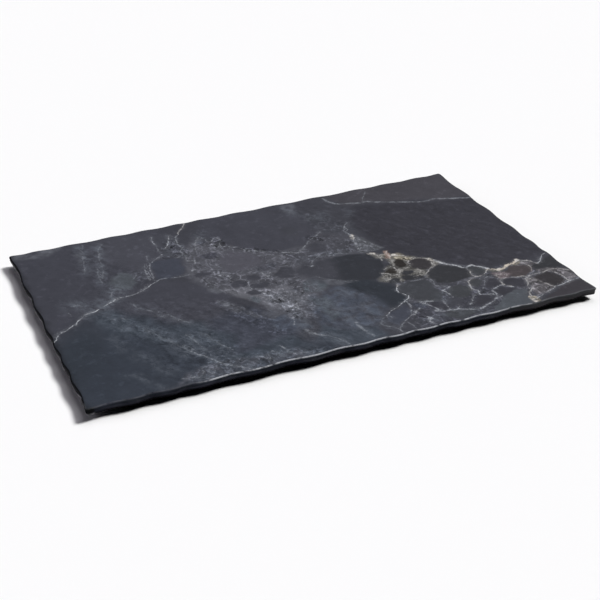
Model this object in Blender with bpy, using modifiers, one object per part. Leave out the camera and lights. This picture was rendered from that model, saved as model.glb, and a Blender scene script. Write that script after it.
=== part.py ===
"""Flat rectangular serving platter, compression moulded in black melamine.

The top carries a stone-look decor sheet under a clear glaze, pressed flush into the moulding.
The rim imitates hand-chipped slate, and six silicone feet are bonded into sockets underneath.
Metres, +Z up. The origin is on the table, under the middle of the platter.
"""

import math
from random import Random

import bmesh
import bpy
from mathutils import Vector

# Driving dimensions of the moulding
LENGTH = 0.530
WIDTH = 0.325
PLATE_THICKNESS = 0.007
STANDING_GAP = 0.005
CORNER_RADIUS = 0.003

# The chipped rim: a rounded lip above a side that leans in under the plate
LIP_RADIUS = 0.0012
SIDE_LEAN = 0.0006
WAVE_DEPTH = 0.0017
WAVE_PITCH = 0.042
CHIP_DEPTH = 0.0009
CHIP_HEIGHT = 0.0005
CHIP_SEED = 7
LIP_STEPS = 3
SIDE_BANDS = 3

# Where each wavy side swells out, as a share of half the side, from its middle
CREST_SHARES = {
    "front": (-0.83, -0.70, -0.58, -0.39, -0.17, 0.02, 0.16, 0.28, 0.42, 0.55, 0.73, 0.89),
    "right": (-0.71, -0.47, -0.29, -0.04, 0.28, 0.59),
    "back": (-0.87, -0.71, -0.56, -0.35, -0.16, 0.02, 0.18, 0.28, 0.43, 0.57, 0.75, 0.89),
    "left": (-0.54, -0.23, 0.06, 0.29, 0.47, 0.69),
}
POINTS_PER_WAVE = 6
POINTS_PER_CORNER = 6

# The printed sheet and the glaze over it, sunk flush inside a narrow bare rim
RIM_WIDTH = 0.0015
DECOR_THICKNESS = 0.0003
GLAZE_THICKNESS = 0.0003
SHEET_CLEARANCE = 0.0003

# Silicone feet, each held in a round socket by a disc of adhesive
FOOT_DIAMETER = 0.020
FOOT_CONTACT_DIAMETER = 0.015
FOOT_ROUNDING = 0.0015
ROUNDING_STEPS = 4
FOOT_EDGE_INSET = 0.045
FOOT_COLUMNS = {"left": -1, "middle": 0, "right": 1}
FOOT_ROWS = {"front": -1, "back": 1}
SOCKET_DEPTH = 0.0015
SOCKET_CLEARANCE = 0.0003
ADHESIVE_THICKNESS = 0.0004
ADHESIVE_MARGIN = 0.0005
SEAT_GAP = 0.0003
ROUND_SEGMENTS = 32

# Shading and merging of the meshes
SHARP_ANGLE = math.radians(25)
MERGE_DISTANCE = 0.00001

# Levels that follow from the sizes above
PLATE_BOTTOM = STANDING_GAP
PLATE_TOP = PLATE_BOTTOM + PLATE_THICKNESS
GLAZE_BOTTOM = PLATE_TOP - GLAZE_THICKNESS
DECOR_BOTTOM = GLAZE_BOTTOM - SEAT_GAP - DECOR_THICKNESS
POCKET_FLOOR = DECOR_BOTTOM - SEAT_GAP
SOCKET_ROOF = PLATE_BOTTOM + SOCKET_DEPTH
ADHESIVE_BOTTOM = SOCKET_ROOF - SEAT_GAP - ADHESIVE_THICKNESS
FOOT_HEIGHT = ADHESIVE_BOTTOM - SEAT_GAP

# Colours and finishes: name, linear RGB, roughness
MELAMINE_BLACK = ("black melamine", (0.010, 0.011, 0.014), 0.45)
STONE_PRINT = ("stone print", (0.050, 0.053, 0.066), 0.50)
CLEAR_GLAZE = ("clear glaze", (0.055, 0.058, 0.070), 0.35)
BLACK_SILICONE = ("black silicone", (0.012, 0.012, 0.012), 0.75)
ADHESIVE_GREY = ("grey adhesive", (0.180, 0.180, 0.175), 0.60)


def clear_scene():
    for obj in list(bpy.data.objects):
        bpy.data.objects.remove(obj, do_unlink=True)


def new_collection(name):
    collection = bpy.data.collections.new(name)
    bpy.context.scene.collection.children.link(collection)
    return collection


def new_material(finish):
    name, colour, roughness = finish
    material = bpy.data.materials.new(name)
    material.use_nodes = True
    shader = material.node_tree.nodes["Principled BSDF"]
    shader.inputs["Base Color"].default_value = (*colour, 1.0)
    shader.inputs["Roughness"].default_value = roughness
    shader.inputs["Metallic"].default_value = 0.0
    return material


def add_object(name, data, collection, location=(0.0, 0.0, 0.0)):
    obj = bpy.data.objects.new(name, data)
    obj.location = location
    collection.objects.link(obj)
    return obj


# The wavy outline

def wave_stations(crests, half_side):
    """(place along the side, depth below its crests) for each point between two corners."""
    straight = half_side - CORNER_RADIUS
    ends = [-straight, *(share * half_side for share in crests), straight]
    stations = []
    for start, end in zip(ends, ends[1:]):
        depth = WAVE_DEPTH * math.sqrt((end - start) / WAVE_PITCH)
        for step in range(POINTS_PER_WAVE):
            part = step / POINTS_PER_WAVE
            dip = 0.5 - 0.5 * math.cos(2 * math.pi * part)
            stations.append((start + part * (end - start), depth * dip))
    stations.append((straight, 0.0))
    return stations


def outline_frame():
    """(point, outward normal, wave depth) round the platter, anticlockwise from the front left."""
    half_length, half_width = LENGTH / 2, WIDTH / 2
    frame = []
    for turn, (side, crests) in enumerate(CREST_SHARES.items()):
        along_length = side in ("front", "back")
        half_side, reach = (half_length, half_width) if along_length else (half_width, half_length)
        angle = turn * math.pi / 2
        along = Vector((math.cos(angle), math.sin(angle)))
        outward = Vector((along.y, -along.x))
        for place, depth in wave_stations(crests, half_side):
            frame.append((along * place + outward * reach, outward, depth))
        centre = along * (half_side - CORNER_RADIUS) + outward * (reach - CORNER_RADIUS)
        for step in range(1, POINTS_PER_CORNER):
            swing = step / POINTS_PER_CORNER * math.pi / 2
            normal = outward * math.cos(swing) + along * math.sin(swing)
            frame.append((centre + normal * CORNER_RADIUS, normal, 0.0))
    return frame


def inset_outline(inset):
    """The wavy outline drawn in by an even inset."""
    return [point - normal * (inset + depth) for point, normal, depth in outline_frame()]


# The moulded body

def smooth_ring(inset, level):
    return [(*point, level) for point in inset_outline(inset)]


def chipped_ring(inset, level, chips):
    """A ring of the leaning side, knocked in and up or down by a different chip at each point."""
    return [
        (
            *(point - normal * chips.uniform(0.0, CHIP_DEPTH)),
            level + chips.uniform(-CHIP_HEIGHT, CHIP_HEIGHT),
        )
        for point, (_, normal, _) in zip(inset_outline(inset), outline_frame())
    ]


def body_rings():
    """Closed rings from the pocket floor, over the lip and down the chipped side to the underside."""
    chips = Random(CHIP_SEED)
    side_height = PLATE_THICKNESS - LIP_RADIUS
    rings = [smooth_ring(RIM_WIDTH, POCKET_FLOOR), smooth_ring(RIM_WIDTH, PLATE_TOP)]
    for step in range(LIP_STEPS + 1):
        turn = step / LIP_STEPS * math.pi / 2
        inset = LIP_RADIUS * (1 - math.sin(turn))
        rings.append(smooth_ring(inset, PLATE_TOP - LIP_RADIUS * (1 - math.cos(turn))))
    for band in range(1, SIDE_BANDS):
        share = band / SIDE_BANDS
        level = PLATE_TOP - LIP_RADIUS - share * side_height
        rings.append(chipped_ring(share**2 * SIDE_LEAN, level, chips))
    rings.append(smooth_ring(SIDE_LEAN + CHIP_DEPTH / 2, PLATE_BOTTOM))
    return rings


def lofted_mesh(name, rings):
    """One closed mesh through the rings, with a flat face across the first and the last."""
    mesh_builder = bmesh.new()
    loops = [[mesh_builder.verts.new(point) for point in ring] for ring in rings]
    for upper, lower in zip(loops, loops[1:]):
        for index in range(len(upper)):
            corners = (upper[index - 1], upper[index], lower[index], lower[index - 1])
            mesh_builder.faces.new(corners)
    for loop in (loops[0], loops[-1]):
        mesh_builder.faces.new(loop)
    bmesh.ops.recalc_face_normals(mesh_builder, faces=mesh_builder.faces)
    mesh = bpy.data.meshes.new(name)
    mesh_builder.to_mesh(mesh)
    mesh_builder.free()
    return mesh


def foot_places():
    """Each foot's name and its centre, three along each long side."""
    reach_x = LENGTH / 2 - FOOT_EDGE_INSET
    reach_y = WIDTH / 2 - FOOT_EDGE_INSET
    return {
        f"{row}_{column}": (column_sign * reach_x, row_sign * reach_y)
        for row, row_sign in FOOT_ROWS.items()
        for column, column_sign in FOOT_COLUMNS.items()
    }


def add_socket_cutters(collection):
    """Cylinders that sink a round socket into the underside over each foot."""
    for name, (x, y) in foot_places().items():
        bpy.ops.mesh.primitive_cylinder_add(
            vertices=ROUND_SEGMENTS,
            radius=FOOT_DIAMETER / 2 + SOCKET_CLEARANCE,
            depth=2 * SOCKET_DEPTH,
            location=(x, y, PLATE_BOTTOM),
        )
        cutter = bpy.context.object
        cutter.name = f"socket_cutter_{name}"
        cutter.hide_render = True
        cutter.display_type = "WIRE"
        for holder in list(cutter.users_collection):
            holder.objects.unlink(cutter)
        collection.objects.link(cutter)


def build_body(parts, cutters):
    mesh = lofted_mesh("platter_body", body_rings())
    mesh.materials.append(new_material(MELAMINE_BLACK))
    mesh.shade_smooth()
    mesh.set_sharp_from_angle(angle=SHARP_ANGLE)
    body = add_object("platter_body", mesh, parts)
    add_socket_cutters(cutters)
    sockets = body.modifiers.new("foot sockets", "BOOLEAN")
    sockets.operation = "DIFFERENCE"
    sockets.operand_type = "COLLECTION"
    sockets.collection = cutters
    sockets.solver = "EXACT"


# The decor sheet and the glaze

def build_sheet(name, bottom, thickness, finish, parts):
    """A flat sheet of the pocket's outline, less its clearance."""
    curve = bpy.data.curves.new(name, "CURVE")
    curve.dimensions = "2D"
    curve.fill_mode = "BOTH"
    curve.extrude = thickness / 2
    points = inset_outline(RIM_WIDTH + SHEET_CLEARANCE)
    spline = curve.splines.new("POLY")
    spline.use_cyclic_u = True
    spline.points.add(len(points) - 1)
    for spline_point, (x, y) in zip(spline.points, points):
        spline_point.co = (x, y, 0.0, 1.0)
    curve.materials.append(new_material(finish))
    add_object(name, curve, parts, (0.0, 0.0, bottom + thickness / 2))


# The feet and their adhesive

def foot_profile():
    """Half section of a foot from its top, down a tapered wall and a rounded edge to its flat face."""
    top_radius = FOOT_DIAMETER / 2
    face_radius = FOOT_CONTACT_DIAMETER / 2
    profile = [(0.0, FOOT_HEIGHT), (top_radius, FOOT_HEIGHT)]
    for step in range(ROUNDING_STEPS + 1):
        turn = step / ROUNDING_STEPS * math.pi / 2
        radius = face_radius + FOOT_ROUNDING * math.cos(turn)
        profile.append((radius, FOOT_ROUNDING * (1 - math.sin(turn))))
    profile.append((0.0, 0.0))
    return profile


def foot_mesh():
    mesh_builder = bmesh.new()
    verts = [mesh_builder.verts.new((radius, 0.0, height)) for radius, height in foot_profile()]
    for pair in zip(verts, verts[1:]):
        mesh_builder.edges.new(pair)
    mesh = bpy.data.meshes.new("foot")
    mesh_builder.to_mesh(mesh)
    mesh_builder.free()
    mesh.materials.append(new_material(BLACK_SILICONE))
    return mesh


def turn_on_axis(obj):
    screw = obj.modifiers.new("turned", "SCREW")
    screw.axis = "Z"
    screw.steps = ROUND_SEGMENTS
    screw.render_steps = ROUND_SEGMENTS
    screw.use_merge_vertices = True
    screw.merge_threshold = MERGE_DISTANCE
    screw.use_smooth_shade = True


def adhesive_mesh():
    mesh_builder = bmesh.new()
    bmesh.ops.create_cone(
        mesh_builder,
        cap_ends=True,
        segments=ROUND_SEGMENTS,
        radius1=FOOT_DIAMETER / 2 - ADHESIVE_MARGIN,
        radius2=FOOT_DIAMETER / 2 - ADHESIVE_MARGIN,
        depth=ADHESIVE_THICKNESS,
    )
    mesh = bpy.data.meshes.new("adhesive_disc")
    mesh_builder.to_mesh(mesh)
    mesh_builder.free()
    mesh.materials.append(new_material(ADHESIVE_GREY))
    return mesh


def build_feet(parts):
    foot_data = foot_mesh()
    adhesive_data = adhesive_mesh()
    adhesive_level = ADHESIVE_BOTTOM + ADHESIVE_THICKNESS / 2
    for name, (x, y) in foot_places().items():
        turn_on_axis(add_object(f"foot_{name}", foot_data, parts, (x, y, 0.0)))
        add_object(f"adhesive_disc_{name}", adhesive_data, parts, (x, y, adhesive_level))


def build_platter():
    clear_scene()
    parts = new_collection("melamine platter")
    cutters = new_collection("cutters")
    build_body(parts, cutters)
    build_sheet("decor_sheet", DECOR_BOTTOM, DECOR_THICKNESS, STONE_PRINT, parts)
    build_sheet("glaze_coat", GLAZE_BOTTOM, GLAZE_THICKNESS, CLEAR_GLAZE, parts)
    build_feet(parts)


build_platter()
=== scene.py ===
"""Looks of a flat melamine serving platter with a dark marble print and a rim like chipped slate.

Metres, +Z up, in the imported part's frame. Only the looks of its surfaces are drawn in millimetres.
"""

import math

import bpy
import numpy as np
from mathutils import Matrix, Vector, noise


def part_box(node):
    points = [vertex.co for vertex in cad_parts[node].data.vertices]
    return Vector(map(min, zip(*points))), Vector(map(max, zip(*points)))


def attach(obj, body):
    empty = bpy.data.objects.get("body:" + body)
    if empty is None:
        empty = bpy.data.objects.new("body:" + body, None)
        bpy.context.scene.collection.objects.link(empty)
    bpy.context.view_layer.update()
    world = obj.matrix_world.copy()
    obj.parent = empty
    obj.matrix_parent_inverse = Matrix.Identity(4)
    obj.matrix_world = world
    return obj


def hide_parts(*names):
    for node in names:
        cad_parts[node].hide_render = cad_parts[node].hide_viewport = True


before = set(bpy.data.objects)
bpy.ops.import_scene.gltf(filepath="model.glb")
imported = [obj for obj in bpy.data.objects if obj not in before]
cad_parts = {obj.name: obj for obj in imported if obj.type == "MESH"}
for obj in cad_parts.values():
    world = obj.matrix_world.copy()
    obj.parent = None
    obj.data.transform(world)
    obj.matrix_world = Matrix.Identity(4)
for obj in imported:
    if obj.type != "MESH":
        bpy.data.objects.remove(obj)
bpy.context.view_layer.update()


# The moulding: one plate of black melamine, pressed in a heated mould that was taken from hand-chipped slate.
# Its rim swells and dips along every side, a small lip rounds the top edge, and the side below is chipped. A
# shallow pocket takes the print, and six sockets underneath take the feet.

body_low, body_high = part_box("platter_body")
half_length = body_high.x
half_width = body_high.y
plate_top = body_high.z
plate_bottom = body_low.z

CORNER_RADIUS = 0.003
WAVE_DEPTH = 0.0017
WAVE_PITCH = 0.042

# Where the rim swells out to the full size, as shares of half a side, anticlockwise along it
CREST_SHARES = {
    "front": (-0.83, -0.70, -0.58, -0.39, -0.17, 0.02, 0.16, 0.28, 0.42, 0.55, 0.73, 0.89),
    "right": (-0.71, -0.47, -0.29, -0.04, 0.28, 0.59),
    "back": (-0.87, -0.71, -0.56, -0.35, -0.16, 0.02, 0.18, 0.28, 0.43, 0.57, 0.75, 0.89),
    "left": (-0.54, -0.23, 0.06, 0.29, 0.47, 0.69),
}
STATION_STEP = 0.0011
CORNER_STEPS = 10

# Small chips in the lip: pitch and depth of each size
NIBBLES = ((0.009, 0.00030), (0.0032, 0.00016))


def nibbled(x, y):
    """How far small chips eat into the lip at one place."""
    total = 0.0
    for pitch, depth in NIBBLES:
        total += depth * (0.5 + 0.5 * noise.noise(Vector((x / pitch, y / pitch, pitch))))
    return total


def rim_stations():
    """Points on the straight-sided outline, their outward normals and the rim's depths below it.

    They run anticlockwise from the front left. The last list gives the station in the middle of each corner,
    where one side of the face ends and the next begins.
    """
    points, normals, depths, corners = [], [], [], []
    for turn, (side, crests) in enumerate(CREST_SHARES.items()):
        lengthwise = side in ("front", "back")
        half_side, reach = (half_length, half_width) if lengthwise else (half_width, half_length)
        angle = turn * math.pi / 2
        along = np.array((math.cos(angle), math.sin(angle)))
        outward = np.array((along[1], -along[0]))
        straight = half_side - CORNER_RADIUS
        ends = [-straight, *(share * half_side for share in crests), straight]
        for start, end in zip(ends, ends[1:]):
            depth = WAVE_DEPTH * math.sqrt((end - start) / WAVE_PITCH)
            steps = round((end - start) / STATION_STEP)
            for step in range(steps):
                part = step / steps
                points.append(along * (start + part * (end - start)) + outward * reach)
                normals.append(outward)
                depths.append(depth * (0.5 - 0.5 * math.cos(2 * math.pi * part)))
        centre = along * straight + outward * (reach - CORNER_RADIUS)
        corners.append(len(points) + CORNER_STEPS // 2)
        for step in range(CORNER_STEPS):
            swing = step / CORNER_STEPS * math.pi / 2
            normal = outward * math.cos(swing) + along * math.sin(swing)
            points.append(centre + normal * CORNER_RADIUS)
            normals.append(normal)
            depths.append(0.0)
    depths = [depth + nibbled(*point) for point, depth in zip(points, depths)]
    return np.array(points), np.array(normals), np.array(depths), corners


rim_points, rim_normals, rim_depths, rim_corners = rim_stations()


def rim_ring(inset):
    """The wavy outline drawn in by an even inset."""
    return rim_points - rim_normals * (inset + rim_depths)[:, None]


LIP_RADIUS = 0.0012
LIP_STEPS = 6
RIM_WIDTH = 0.0014
POCKET_DEPTH = 0.0012
SIDE_LEAN = 0.0006
SIDE_STEPS = 18
CHIPPED_FROM = 0.25
BOTTOM_BEVEL = 0.0004
BOTTOM_CHIPPING = 0.4

# Rings of the moulding, from the pocket's floor over the lip to the underside: inset, level, chipping
body_rings = [(RIM_WIDTH, plate_top - POCKET_DEPTH, 0.0), (RIM_WIDTH, plate_top, 0.0)]
for step in range(LIP_STEPS + 1):
    turn = step / LIP_STEPS * math.pi / 2
    body_rings.append(
        (LIP_RADIUS * (1 - math.sin(turn)), plate_top - LIP_RADIUS * (1 - math.cos(turn)), 0.0)
    )
side_top = plate_top - LIP_RADIUS
side_foot = plate_bottom + BOTTOM_BEVEL
for step in range(1, SIDE_STEPS + 1):
    share = step / SIDE_STEPS
    chipping = min(1.0, share / CHIPPED_FROM)
    body_rings.append((SIDE_LEAN * share**2, side_top + (side_foot - side_top) * share, chipping))
body_rings.append((SIDE_LEAN + BOTTOM_BEVEL, plate_bottom, BOTTOM_CHIPPING))
body_rings.append((SIDE_LEAN + 4 * BOTTOM_BEVEL, plate_bottom, 0.0))


def loft_mesh(name, rings):
    """One closed mesh through rings, with a flat face across the first and the last."""
    count = len(rim_points)
    coords = [np.column_stack((rim_ring(inset), np.full(count, level))) for inset, level, _ in rings]
    faces = []
    for ring in range(len(rings) - 1):
        upper, lower = ring * count, (ring + 1) * count
        for index in range(count):
            after = (index + 1) % count
            faces.append((upper + index, lower + index, lower + after, upper + after))
    faces.append(tuple(range(count)))
    faces.append(tuple(reversed(range((len(rings) - 1) * count, len(rings) * count))))
    mesh = bpy.data.meshes.new(name)
    mesh.from_pydata(np.concatenate(coords).tolist(), [], faces)
    outward = np.tile(np.column_stack((rim_normals, np.zeros(count))), (len(rings), 1))
    mesh.attributes.new("outward", "FLOAT_VECTOR", "POINT").data.foreach_set("vector", outward.ravel())
    chipping = np.repeat([share for _, _, share in rings], count)
    mesh.attributes.new("chipping", "FLOAT", "POINT").data.foreach_set("value", chipping)
    return mesh


class Wire:
    """One output of a node tree. Operators on it add Math nodes, or Vector Math nodes for a vector."""

    def __init__(self, tree, socket=None):
        self.tree = tree
        self.socket = socket

    def node(self, kind, settings=None, inputs=None, output=0):
        """Any node: its type, its settings, then the values or links of its sockets; gives one output."""
        made = self.tree.nodes.new(kind)
        for name, value in (settings or {}).items():
            setattr(made, name, value)
        for key, value in (inputs or {}).items():
            if isinstance(value, Wire):
                self.tree.links.new(value.socket, made.inputs[key])
            else:
                made.inputs[key].default_value = value
        return Wire(self.tree, made.outputs[output])

    def is_vector(self, other):
        wires = [wire for wire in (self, other) if isinstance(wire, Wire)]
        return any(wire.socket.type in ("VECTOR", "RGBA") for wire in wires)

    def sum_node(self, operation, first, second):
        """A Math node, or a Vector Math node with a plain number spread over all three axes."""
        if not self.is_vector(first if second is self else second):
            return self.node("ShaderNodeMath", {"operation": operation}, {0: first, 1: second})
        spread = [(value,) * 3 if isinstance(value, (int, float)) else value for value in (first, second)]
        return self.node("ShaderNodeVectorMath", {"operation": operation}, {0: spread[0], 1: spread[1]})

    def __add__(self, other):
        return self.sum_node("ADD", self, other)

    def __radd__(self, other):
        return self.sum_node("ADD", other, self)

    def __sub__(self, other):
        return self.sum_node("SUBTRACT", self, other)

    def __rsub__(self, other):
        return self.sum_node("SUBTRACT", other, self)

    def __mul__(self, other):
        return self.sum_node("MULTIPLY", self, other)

    def __rmul__(self, other):
        return self.sum_node("MULTIPLY", other, self)

    def __truediv__(self, other):
        return self.sum_node("DIVIDE", self, other)

    def at_least(self, other):
        return self.sum_node("MAXIMUM", self, other)

    def fade(self, zero, one):
        """Goes smoothly from 0 where this value is at zero to 1 where it is at one."""
        limits = {"Value": self, "From Min": zero, "From Max": one}
        return self.node("ShaderNodeMapRange", {"interpolation_type": "SMOOTHSTEP"}, limits)

    def mix(self, first, second):
        """Between two colours, by this value."""
        settings = {"data_type": "RGBA", "clamp_factor": True}
        return self.node("ShaderNodeMix", settings, {0: self, 6: first, 7: second}, 2)

    def attribute(self, name, output):
        return self.node("ShaderNodeAttribute", {"attribute_name": name}, None, output)

    def grain(self, place, size, detail=2.0, roughness=0.5, output="Fac"):
        """Smooth noise whose lumps are about one size across, in the units of place."""
        inputs = {"Vector": place, "Scale": 1 / size, "Detail": detail, "Roughness": roughness}
        return self.node("ShaderNodeTexNoise", None, inputs, output)

    def place_mm(self):
        """The place on the piece, in millimetres."""
        return self.node("ShaderNodeTexCoord", None, None, "Object") * 1000.0


def new_tree(name, inputs):
    """A Geometry Nodes tree with named inputs: the keys that a modifier sets them by, and their wires."""
    tree = bpy.data.node_groups.new(name, "GeometryNodeTree")
    keys = {}
    for label, kind, default in inputs:
        item = tree.interface.new_socket(label, in_out="INPUT", socket_type="NodeSocket" + kind)
        if default is not None:
            item.default_value = default
        keys[label] = item.identifier
    tree.interface.new_socket("Geometry", in_out="OUTPUT", socket_type="NodeSocketGeometry")
    start = tree.nodes.new("NodeGroupInput")
    given = {label: Wire(tree, start.outputs[index]) for index, label in enumerate(keys)}
    return tree, keys, given


def end_tree(geometry, material):
    """Gives the geometry out of its tree as a plain mesh in its material."""
    whole = geometry.node("GeometryNodeRealizeInstances", None, {"Geometry": geometry})
    dressed = geometry.node("GeometryNodeSetMaterial", None, {"Geometry": whole, "Material": material})
    end = geometry.tree.nodes.new("NodeGroupOutput")
    geometry.tree.links.new(dressed.socket, end.inputs[0])


# Chips on the side: how much smaller each size is than the first, its share of the depth, and how steeply
# all of them are hollowed
CHIP_SCALES = (1.0, 2.6)
CHIP_SHARES = (0.78, 0.22)
CHIP_HOLLOW = 1.7


def knapped_tree():
    """Scoops shell-shaped chips out of a side, along its outward normals, with sharp ridges between."""
    tree, keys, given = new_tree("knapped side", (
        ("Geometry", "Geometry", None),
        ("Chip Length", "Float", 0.020),
        ("Chip Height", "Float", 0.0055),
        ("Chip Depth", "Float", 0.0010),
        ("Seed", "Float", 7.0),
        ("Material", "Material", None),
    ))
    knap = Wire(tree)
    sides = {0: given["Chip Length"], 1: given["Chip Length"], 2: given["Chip Height"]}
    size = knap.node("ShaderNodeCombineXYZ", None, sides)
    place = knap.node("GeometryNodeInputPosition") / size + given["Seed"]
    scoops = []
    for scale in CHIP_SCALES:
        settings = {"voronoi_dimensions": "3D", "feature": "F1"}
        cell = knap.node("ShaderNodeTexVoronoi", settings, {"Vector": place, "Scale": scale}, "Distance")
        scoops.append((1.0 - cell * cell * CHIP_HOLLOW).at_least(0.0))
    scoop = scoops[0] * CHIP_SHARES[0] + scoops[1] * CHIP_SHARES[1]
    read = "GeometryNodeInputNamedAttribute"
    chipping = knap.node(read, {"data_type": "FLOAT"}, {"Name": "chipping"})
    outward = knap.node(read, {"data_type": "FLOAT_VECTOR"}, {"Name": "outward"})
    dent = outward * (scoop * chipping * given["Chip Depth"] * -1.0)
    moved = {"Geometry": given["Geometry"], "Offset": dent}
    chipped = knap.node("GeometryNodeSetPosition", None, moved)
    kept = {"Geometry": chipped, "Name": "ridge", "Value": 1.0 - scoop}
    points = {"data_type": "FLOAT", "domain": "POINT"}
    marked = knap.node("GeometryNodeStoreNamedAttribute", points, kept)
    end_tree(marked, given["Material"])
    return tree, keys


def new_material(name):
    """A material with its Principled shader, and a wire to build its nodes with."""
    material = bpy.data.materials.new(name)
    material.use_nodes = True
    return material, material.node_tree.nodes["Principled BSDF"], Wire(material.node_tree)


def link(wire, shader, socket):
    wire.tree.links.new(wire.socket, shader.inputs[socket])


def emboss(relief, shader, strength, distance):
    """Fine relief on a surface, as deep as a distance in metres."""
    bump = {"Height": relief, "Strength": strength, "Distance": distance}
    link(relief.node("ShaderNodeBump", None, bump), shader, "Normal")


def parts(vector):
    """The three numbers of a vector."""
    return [vector.node("ShaderNodeSeparateXYZ", None, {0: vector}, axis) for axis in range(3)]


# Where a highlight is painted pale along the front lip, in mm: its stretch along the side, the rim's front
# and the lip's lower edge. The side turns greyer toward the right end. The left end is painted darker as
# shade, with a highlight painted pale along its bottom edge.
FRONT_LIP_HIGHLIGHT_SPAN = (-154, 185)
FRONT_LIP_HIGHLIGHT_FRONT = -155
FRONT_LIP_HIGHLIGHT_ABOVE = 10.95
GREYER_RIGHT_FROM = 130
GREYER_RIGHT_RISE = 70
SHADED_LEFT_FROM = -258
LEFT_BOTTOM_HIGHLIGHT_TOP = 6.6

# Levels on the side, in mm, for light and shade painted into its colour: the underside, the bottom that is
# painted dark as shade, the ledge that is painted lighter as a little light, and the lip's rise, painted as a
# highlight
UNDERSIDE = 5.0
DARK_BOTTOM = 5.9
LEDGE = 7.7
PAINTED_LIP_LIGHT_RISE = (9.9, 10.8)

# Colours of the melamine in linear light. Pairs go from dark to pale.
BLACK_MOTTLE = ((0.0085, 0.0098, 0.0150, 1), (0.022, 0.0245, 0.035, 1))
WORN_RIDGE = (0.040, 0.043, 0.051, 1)
# Greys that the side turns to toward the right end, mixed by its painted light and shade
RIGHT_END_GREYS = ((0.010, 0.010, 0.011, 1), (0.050, 0.050, 0.053, 1))
# Painted highlight along the bottom edge of the left end
LEFT_BOTTOM_HIGHLIGHT_GREY = (0.40, 0.40, 0.42, 1)
# Painted highlight along the front lip
FRONT_LIP_HIGHLIGHT_GREY = (0.42, 0.435, 0.47, 1)


def body_material():
    """Satin black melamine: mottled, greyer on chip ridges, with light and shade painted on its lip and
    sides.
    """
    material, shader, wire = new_material("black_melamine")
    place = wire.place_mm()
    ridge = wire.attribute("ridge", "Fac")
    chipping = wire.attribute("chipping", "Fac")
    cloud = wire.grain(place, 14.0, 4.0)
    speck = wire.grain(place, 1.1, 3.0, 0.6)
    ground = cloud.fade(0.3, 0.7).mix(*BLACK_MOTTLE)
    worn = ridge.fade(0.5, 1.0) * speck.fade(0.35, 0.7) * chipping
    colour = worn.mix(ground, WORN_RIDGE)
    lip = 1.0 - chipping.fade(0.0, 0.22)
    along, across, up = parts(place)
    # The left end, painted darker as shade, with a highlight painted pale along its bottom edge
    left = along.fade(SHADED_LEFT_FROM + 2, SHADED_LEFT_FROM)
    # Painted light and shade on the side: lighter on the ledge and the lip's rise, darker at the bottom
    layer = up + (wire.grain(place * Vector((0.3, 0.3, 1.0)), 4.0, 3.0, 0.6) - 0.5) * 1.6
    painted_ledge_light = layer.fade(LEDGE + 1.0, LEDGE + 0.2) * layer.fade(LEDGE - 1.0, LEDGE - 0.2)
    dark = layer.fade(DARK_BOTTOM + 0.8, DARK_BOTTOM)
    tone = 1.0 + up.fade(*PAINTED_LIP_LIGHT_RISE) * 0.5 + painted_ledge_light * 0.55 - dark * 0.7
    colour = colour * tone * (1.0 - left * 0.85)
    # A highlight painted pale along the bottom edge of the left end
    pale = up.fade(LEFT_BOTTOM_HIGHLIGHT_TOP + 0.4, LEFT_BOTTOM_HIGHLIGHT_TOP - 0.4) * up.fade(UNDERSIDE - 0.1, UNDERSIDE + 0.1)
    colour = (left * pale * cloud.fade(0.25, 0.55)).mix(colour, LEFT_BOTTOM_HIGHLIGHT_GREY)
    # Toward the right end the side turns greyer, between two greys by its painted light and shade
    dusty = along.fade(GREYER_RIGHT_FROM, GREYER_RIGHT_FROM + GREYER_RIGHT_RISE) * 0.8
    colour = dusty.mix(colour, tone.mix(*RIGHT_END_GREYS))
    # A highlight painted pale along the front lip, broken up by noise
    start, end = FRONT_LIP_HIGHLIGHT_SPAN
    span = 0.12 + along.fade(start - 12, start + 12) * (1.0 - along.fade(end - 30, end + 30)) * 0.88
    front = up.fade(FRONT_LIP_HIGHLIGHT_ABOVE, FRONT_LIP_HIGHLIGHT_ABOVE + 0.5) * (1.0 - across.fade(FRONT_LIP_HIGHLIGHT_FRONT, FRONT_LIP_HIGHLIGHT_FRONT + 5))
    front_lip_highlight = lip * span * front * wire.grain(place, 9.0, 3.0, 0.6).fade(0.28, 0.54)
    colour = (front_lip_highlight * speck.fade(0.1, 0.5)).mix(colour, FRONT_LIP_HIGHLIGHT_GREY)
    link(colour, shader, "Base Color")
    link(0.46 + speck * 0.20, shader, "Roughness")
    shader.inputs["Specular IOR Level"].default_value = 0.04
    relief = speck * 0.7 + wire.grain(place * Vector((1.0, 1.0, 3.0)), 0.5, 3.0) * 0.3
    emboss(relief, shader, 0.35, 0.00025)
    return material


SOCKET_DEPTH = 0.0015
SOCKET_CLEARANCE = 0.0003
SOCKET_SIDES = 64
SHARP_ANGLE = math.radians(38)


def new_object(name, mesh):
    made = bpy.data.objects.new(name, mesh)
    bpy.context.scene.collection.objects.link(made)
    return made


def smooth_shaded(mesh):
    """Shades a mesh smoothly, and keeps every crease that is sharper than the limit."""
    mesh.shade_smooth()
    mesh.set_sharp_from_angle(angle=SHARP_ANGLE)


def as_plain_mesh(source):
    """Puts an object's evaluated mesh in place of its own, with no modifiers left on it."""
    bpy.context.view_layer.update()
    evaluated = source.evaluated_get(bpy.context.evaluated_depsgraph_get())
    mesh = bpy.data.meshes.new_from_object(evaluated)
    source.modifiers.clear()
    source.data = mesh
    mesh.name = source.name


FOOT_NODES = [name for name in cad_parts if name.startswith("foot_")]
DISC_NODES = [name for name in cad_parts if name.startswith("adhesive_disc_")]
foot_low, foot_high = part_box("foot_front_left")
foot_radius = (foot_high.x - foot_low.x) / 2
foot_top = foot_high.z


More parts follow.
